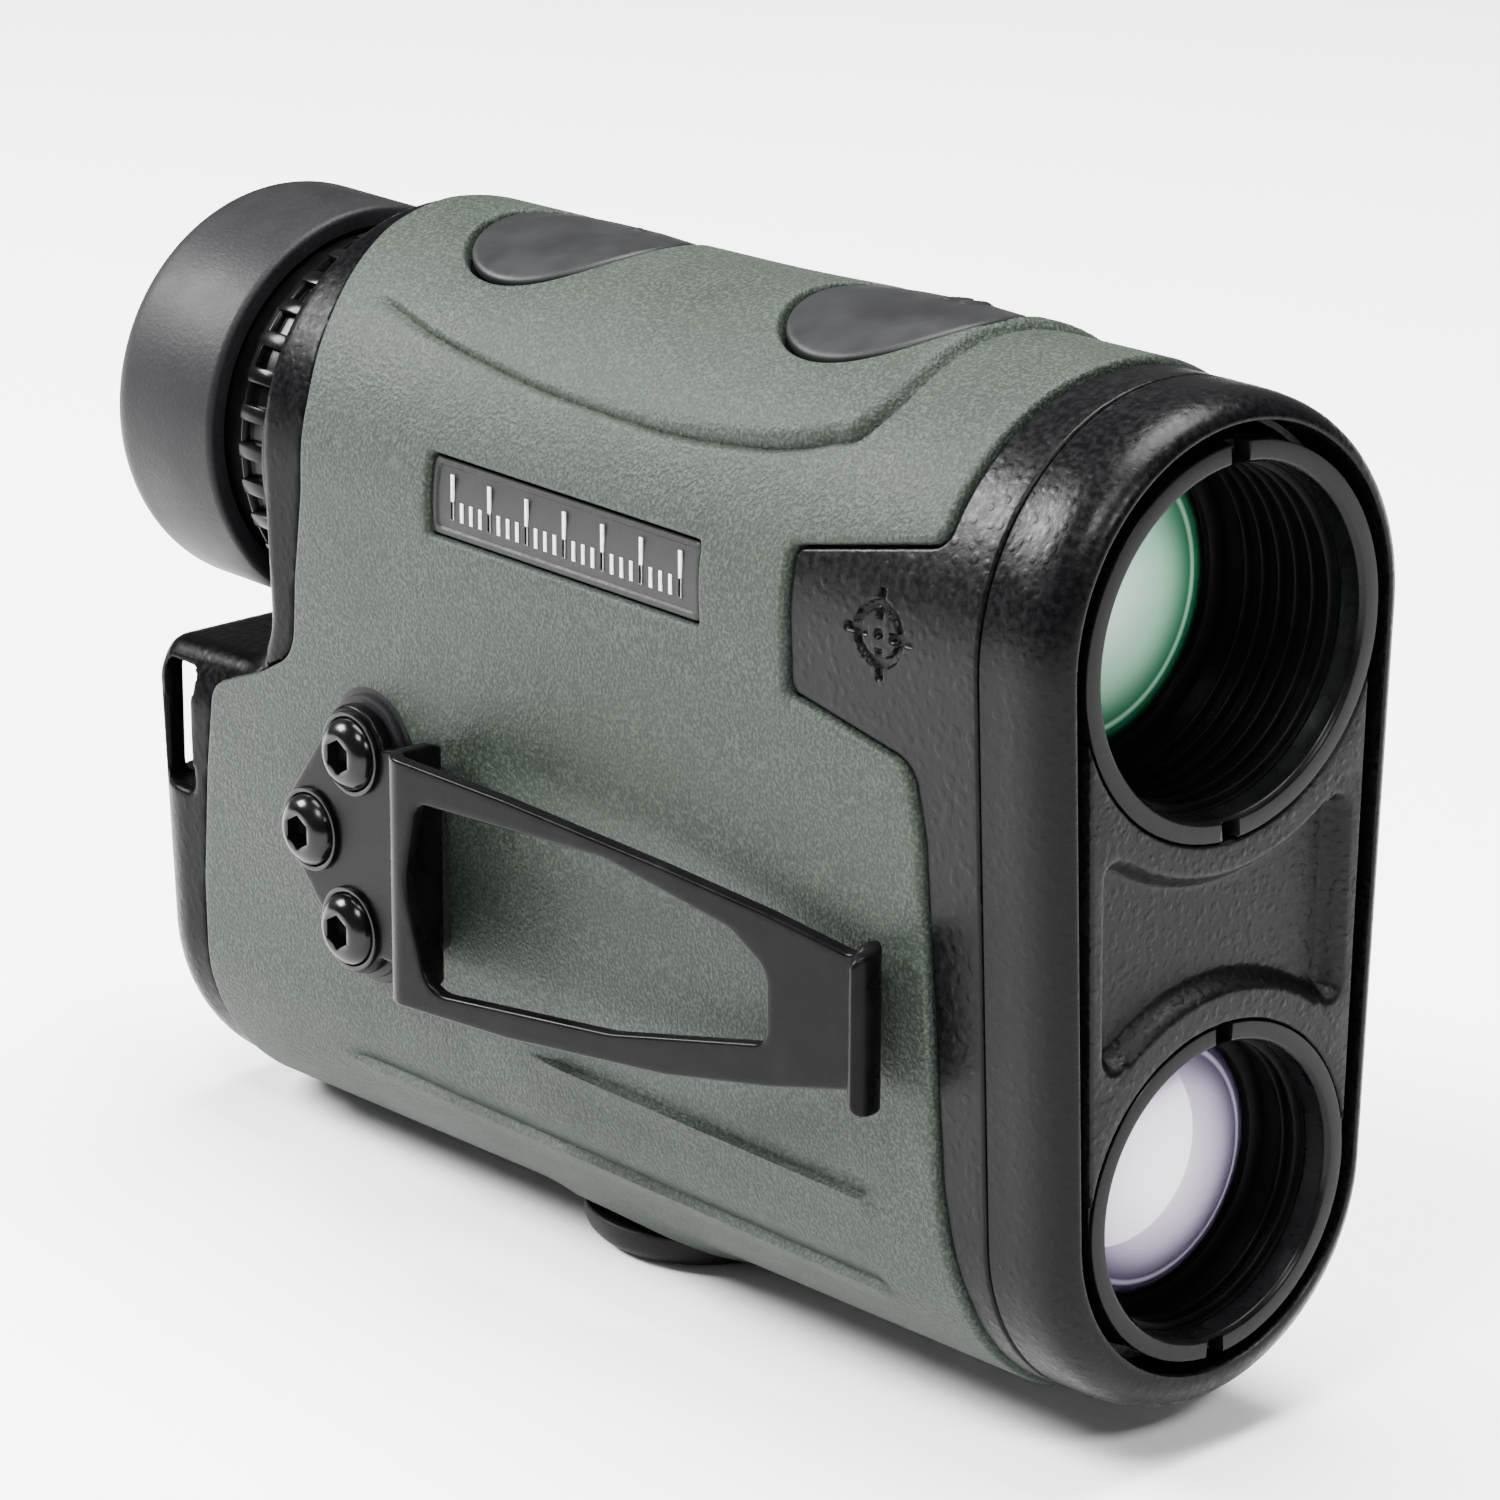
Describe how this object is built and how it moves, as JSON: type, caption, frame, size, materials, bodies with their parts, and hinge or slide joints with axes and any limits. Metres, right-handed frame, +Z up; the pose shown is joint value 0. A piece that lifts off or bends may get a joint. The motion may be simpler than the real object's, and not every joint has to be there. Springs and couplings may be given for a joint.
{
  "type": "laser rangefinder",
  "caption": "Hand-held laser rangefinder monocular with two stacked front lenses, a twist-up eyecup, top buttons and a side belt clip.",
  "frame": {"origin": "bottom centre of the bounding box, on the plane of the tripod boss's foot", "axes": "+X forward along the line of sight, +Y to the user's left, +Z up; the belt clip is on -Y"},
  "size_m": [0.1104, 0.0422, 0.0796],
  "materials": {
    "armor_rubber": "matte grey-green moulded rubber with a fine stipple",
    "housing_black": "fine textured satin black moulding",
    "inner_black": "flat black anti-reflection finish",
    "anodised_black": "satin black anodised aluminium",
    "gloss_black": "semi-gloss black moulding",
    "dark_rubber": "matte charcoal rubber",
    "clip_steel": "black oxide spring steel, satin",
    "screw_steel": "black oxide steel, semi-gloss",
    "coated_glass_green": "polished, green reflecting multi-coating",
    "coated_glass_violet": "polished, violet reflecting coating",
    "clear_glass": "polished optical glass",
    "brass": "turned brass",
    "circuit_board": "green solder mask",
    "bright_metal": "nickel plated",
    "battery_wrap": "printed sleeve, plain grey",
    "badge_grey": "dark grey plate with pale graduations"
  },
  "bodies": {
    "body": {"rubber_armor": "armor_rubber", "main_housing": "inner_black", "front_housing": "housing_black", "front_bezel": "housing_black", "front_plate": "housing_black", "rear_cover": "housing_black", "objective_retaining_ring": "anodised_black", "objective_barrel": "inner_black", "objective_lens_front": "coated_glass_green", "objective_lens_rear": "clear_glass", "receiver_retaining_ring": "anodised_black", "receiver_barrel": "inner_black", "receiver_lens": "coated_glass_violet", "detector_board": "circuit_board", "prism_holder": "inner_black", "roof_prism": "clear_glass", "half_penta_prism": "clear_glass", "laser_module": "bright_metal", "reticle_display": "clear_glass", "eyepiece_barrel": "anodised_black", "measure_switch": "bright_metal", "menu_switch": "bright_metal", "button_board": "circuit_board", "main_board": "circuit_board", "battery_sleeve": "inner_black", "battery_positive_contact": "bright_metal", "tripod_boss": "dark_rubber", "tripod_socket": "brass", "clip_mount_pad": "dark_rubber", "clip_base": "clip_steel", "clip_screw_1": "screw_steel", "clip_screw_2": "screw_steel", "clip_screw_3": "screw_steel", "side_badge_right": "badge_grey", "side_badge_left": "badge_grey"},
    "diopter": {"diopter_ring": "gloss_black"},
    "ocular": {"ocular_cell": "inner_black", "ocular_eye_lens": "clear_glass", "ocular_field_lens": "clear_glass"},
    "eyecup_sleeve": {"eyecup_cam_sleeve": "inner_black"},
    "eyecup": {"eyecup": "dark_rubber"},
    "measure_button": {"measure_button": "dark_rubber"},
    "menu_button": {"menu_button": "dark_rubber"},
    "clip_arm": {"clip_arm": "clip_steel"},
    "cap_carrier": {"battery_cap_contact": "bright_metal"},
    "cap_thread": {"battery_cap_seal": "dark_rubber"},
    "battery_cap": {"battery_cap": "housing_black"},
    "battery": {"battery_cell": "battery_wrap"}
  },
  "joints": [
    {"name": "diopter_turn", "type": "hinge", "parent": "body", "child": "diopter", "pos_m": [-0.0368, 0.00308, 0.0581], "axis": [1, 0, 0], "range_deg": [-60, 60]},
    {"name": "ocular_focus", "type": "slide", "parent": "body", "child": "ocular", "axis": [1, 0, 0], "range_m": [-0.0012, 0.0012]},
    {"name": "eyecup_turn", "type": "hinge", "parent": "body", "child": "eyecup_sleeve", "pos_m": [-0.0432, 0.00308, 0.0581], "axis": [1, 0, 0], "range_deg": [0, 120]},
    {"name": "eyecup_slide", "type": "slide", "parent": "eyecup_sleeve", "child": "eyecup", "axis": [-1, 0, 0], "range_m": [0, 0.005]},
    {"name": "measure_press", "type": "slide", "parent": "body", "child": "measure_button", "axis": [0, 0, -1], "range_m": [0, 0.0007], "stiffness_N_per_m": 2200, "springref_m": -0.0001},
    {"name": "menu_press", "type": "slide", "parent": "body", "child": "menu_button", "axis": [0, 0, -1], "range_m": [0, 0.0007], "stiffness_N_per_m": 2200, "springref_m": -0.0001},
    {"name": "clip_flex", "type": "hinge", "parent": "body", "child": "clip_arm", "pos_m": [-0.0092, -0.02102, 0.0321], "axis": [0, 0, -1], "range_deg": [0, 5], "stiffness_Nm_per_rad": 5},
    {"name": "battery_cap_lift", "type": "slide", "parent": "body", "child": "cap_carrier", "axis": [-1, 0, 0], "range_m": [0, 0.05]},
    {"name": "battery_cap_unscrew", "type": "slide", "parent": "cap_carrier", "child": "cap_thread", "axis": [-1, 0, 0], "range_m": [0, 0.002]},
    {"name": "battery_cap_turn", "type": "hinge", "parent": "cap_thread", "child": "battery_cap", "pos_m": [-0.0502, 0.00308, 0.0195], "axis": [1, 0, 0], "range_deg": [0, 720]},
    {"name": "battery_out", "type": "slide", "parent": "body", "child": "battery", "axis": [-1, 0, 0], "range_m": [0, 0.03]}
  ],
  "couplings": [
    {"joint": "diopter_turn", "follows": "ocular_focus", "rad_per_m": 872},
    {"joint": "eyecup_turn", "follows": "eyecup_slide", "rad_per_m": 418.8},
    {"joint": "battery_cap_turn", "follows": "battery_cap_unscrew", "rad_per_m": 6283},
    {"joint": "battery_out", "follows": "battery_cap_lift", "ratio": 0.6}
  ]
}
